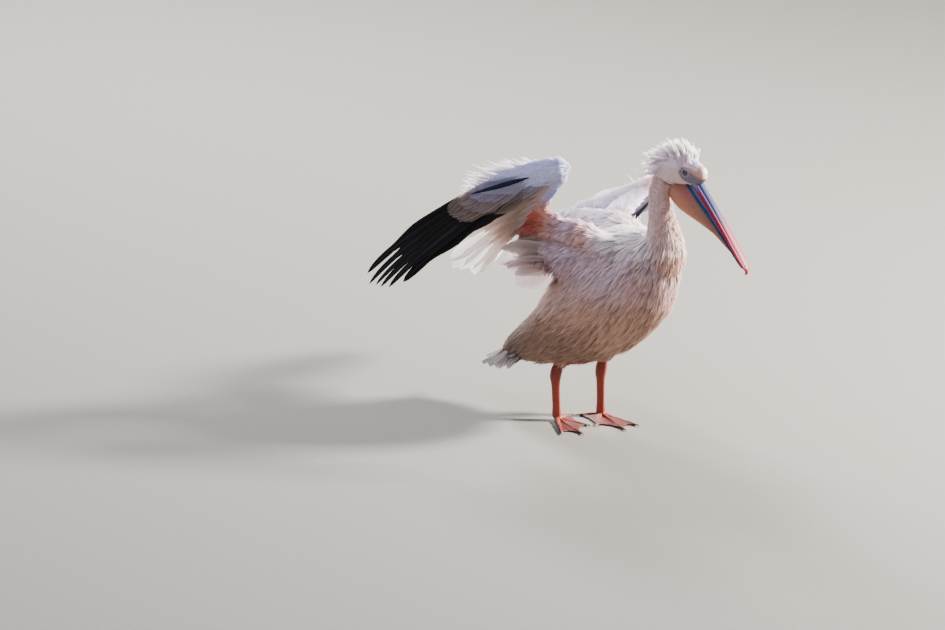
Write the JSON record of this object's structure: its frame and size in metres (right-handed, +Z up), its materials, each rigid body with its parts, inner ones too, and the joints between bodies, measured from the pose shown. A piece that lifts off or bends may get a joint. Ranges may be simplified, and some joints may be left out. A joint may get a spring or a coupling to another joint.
{
  "type": "great white pelican model",
  "caption": "Life-size still model of a great white pelican standing on flat webbed feet, wings half raised and bill pointing down.",
  "frame": {"origin": "on the floor, under the middle of the model's box", "axes": "+Z up, -Y the way the bird faces, +X to the bird's left"},
  "size_m": [0.952, 1.1063, 1.012],
  "materials": {
    "body_plumage": "matte, soft, short dense plumage with fine hair-like tips",
    "wing_plumage": "matte, short overlapping coverts",
    "crest_plumes": "matte, loose narrow plumes",
    "tail_feathers": "matte vanes with pale shafts",
    "flight_white": "matte vanes, thin enough to glow against the light",
    "flight_black": "satin black vanes with dark shafts",
    "bill": "satin horn, grey-blue sides with pale and crimson edges",
    "nail": "glossy red-orange horn",
    "pouch": "thin supple skin, finely creased, satin",
    "eye": "wet, glossy and very dark",
    "leg_skin": "scaled skin, satin",
    "claw": "satin horn"
  },
  "bodies": {
    "root": {"trunk": "body_plumage", "neck_lower": "body_plumage", "neck_upper": "body_plumage", "tail": "tail_feathers", "head": "body_plumage", "bill_nail": "nail", "bill_upper": "bill", "bill_lower": "bill", "bill_pouch": "pouch", "eye_l": "eye", "eye_r": "eye", "crest": "crest_plumes", "thigh_l": "body_plumage", "shank_l": "leg_skin", "tarsus_l": "leg_skin", "foot_l": "leg_skin", "claw_l_1": "claw", "claw_l_2": "claw", "claw_l_3": "claw", "claw_l_4": "claw", "thigh_r": "body_plumage", "shank_r": "leg_skin", "tarsus_r": "leg_skin", "foot_r": "leg_skin", "claw_r_1": "claw", "claw_r_2": "claw", "claw_r_3": "claw", "claw_r_4": "claw", "wing_r_upper_arm": "wing_plumage", "wing_r_forearm": "wing_plumage", "wing_r_hand": "wing_plumage", "wing_r_primaries": "flight_black", "wing_r_secondaries": "flight_white", "wing_r_primary_coverts_under": "flight_white", "wing_r_primary_coverts_over": "flight_black", "wing_r_secondary_coverts_under": "flight_white", "wing_r_secondary_coverts_over": "flight_white", "wing_r_alula": "flight_black", "wing_r_ruffle": "flight_white", "wing_r_scapulars": "flight_white", "wing_l_upper_arm": "wing_plumage", "wing_l_forearm": "wing_plumage", "wing_l_hand": "wing_plumage", "wing_l_primaries": "flight_black", "wing_l_secondaries": "flight_white", "wing_l_primary_coverts_under": "flight_white", "wing_l_primary_coverts_over": "flight_black", "wing_l_secondary_coverts_under": "flight_white", "wing_l_secondary_coverts_over": "flight_white", "wing_l_alula": "flight_black", "wing_l_ruffle": "flight_white", "wing_l_scapulars": "flight_white"}
  },
  "joints": []
}
